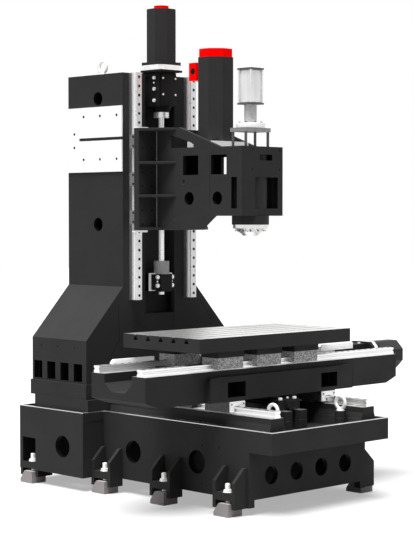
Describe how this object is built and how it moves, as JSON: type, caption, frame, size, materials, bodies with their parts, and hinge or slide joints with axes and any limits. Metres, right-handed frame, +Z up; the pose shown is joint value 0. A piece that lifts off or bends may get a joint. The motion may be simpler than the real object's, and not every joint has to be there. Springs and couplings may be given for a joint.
{
  "type": "vertical machining centre",
  "caption": "Bare vertical milling machine: ribbed column on a base, saddle and T-slot table on linear guides, and a sliding spindle head.",
  "frame": {"origin": "on the floor under the middle of the machine's overall length and width", "axes": "+X to the operator's right along the table's travel, +Y from the operator to the column, +Z up"},
  "size_m": [2.25, 1.92, 2.826],
  "materials": {
    "casting": "satin charcoal paint over cast iron",
    "table_iron": "painted sides, ground top",
    "pad_iron": "bare cast iron, warm light grey",
    "bolt_steel": "bright zinc",
    "rail_steel": "ground and hardened",
    "screw_steel": "ground",
    "block_steel": "matt grey steel",
    "bracket_black": "satin black",
    "bumper_rubber": "matt black",
    "white_metal": "fine machined, nearly white",
    "motor_grey": "satin dark grey",
    "red_cover": "bright red",
    "cartridge_steel": "dark grey",
    "post_steel": "grey turned steel"
  },
  "bodies": {
    "base": {"base_casting": "casting", "foot_brackets": "casting", "levelling_pads": "pad_iron", "levelling_bolts": "bolt_steel", "lifting_eyes": "bolt_steel", "y_rails": "rail_steel", "y_screw": "screw_steel", "y_bearing_block": "block_steel", "y_motor_bracket": "bracket_black", "y_motor": "motor_grey", "column_casting": "casting", "tool_changer_pad": "white_metal", "z_rails": "rail_steel", "z_screw": "screw_steel", "z_lower_bearing": "bracket_black", "z_bumper": "bumper_rubber", "z_motor_bracket": "bracket_black", "z_bearing_ring": "rail_steel", "z_motor_adapter": "white_metal", "z_motor": "motor_grey", "z_motor_cap": "red_cover"},
    "saddle": {"y_blocks": "block_steel", "saddle_casting": "casting", "saddle_nut": "block_steel", "x_rails": "rail_steel", "x_screw": "screw_steel", "x_bearing_block": "bracket_black", "x_motor_bracket": "bracket_black", "x_motor_adapter": "white_metal", "x_motor": "motor_grey"},
    "table": {"x_blocks": "block_steel", "table": "table_iron", "table_nut": "block_steel"},
    "head": {"z_blocks": "block_steel", "head_casting": "casting", "head_ribs": "casting", "motor_plate": "white_metal", "head_nut": "block_steel", "spindle_cartridge": "cartridge_steel", "spindle_motor": "motor_grey", "spindle_motor_cap": "red_cover", "terminal_box": "red_cover", "release_posts": "post_steel", "release_plate": "post_steel", "release_cylinder": "white_metal"},
    "spindle": {"spindle_rotor": "rail_steel"}
  },
  "joints": [
    {"name": "saddle_slide", "type": "slide", "parent": "base", "child": "saddle", "axis": [0, 1, 0], "range_m": [-0.3, 0.3]},
    {"name": "table_slide", "type": "slide", "parent": "saddle", "child": "table", "axis": [1, 0, 0], "range_m": [-0.439, 0.661]},
    {"name": "head_slide", "type": "slide", "parent": "base", "child": "head", "axis": [0, 0, 1], "range_m": [-0.42, 0.06]},
    {"name": "spindle_spin", "type": "hinge", "parent": "head", "child": "spindle", "pos_m": [-0.112, -0.343, 1.7], "axis": [0, 0, 1], "continuous": true}
  ]
}
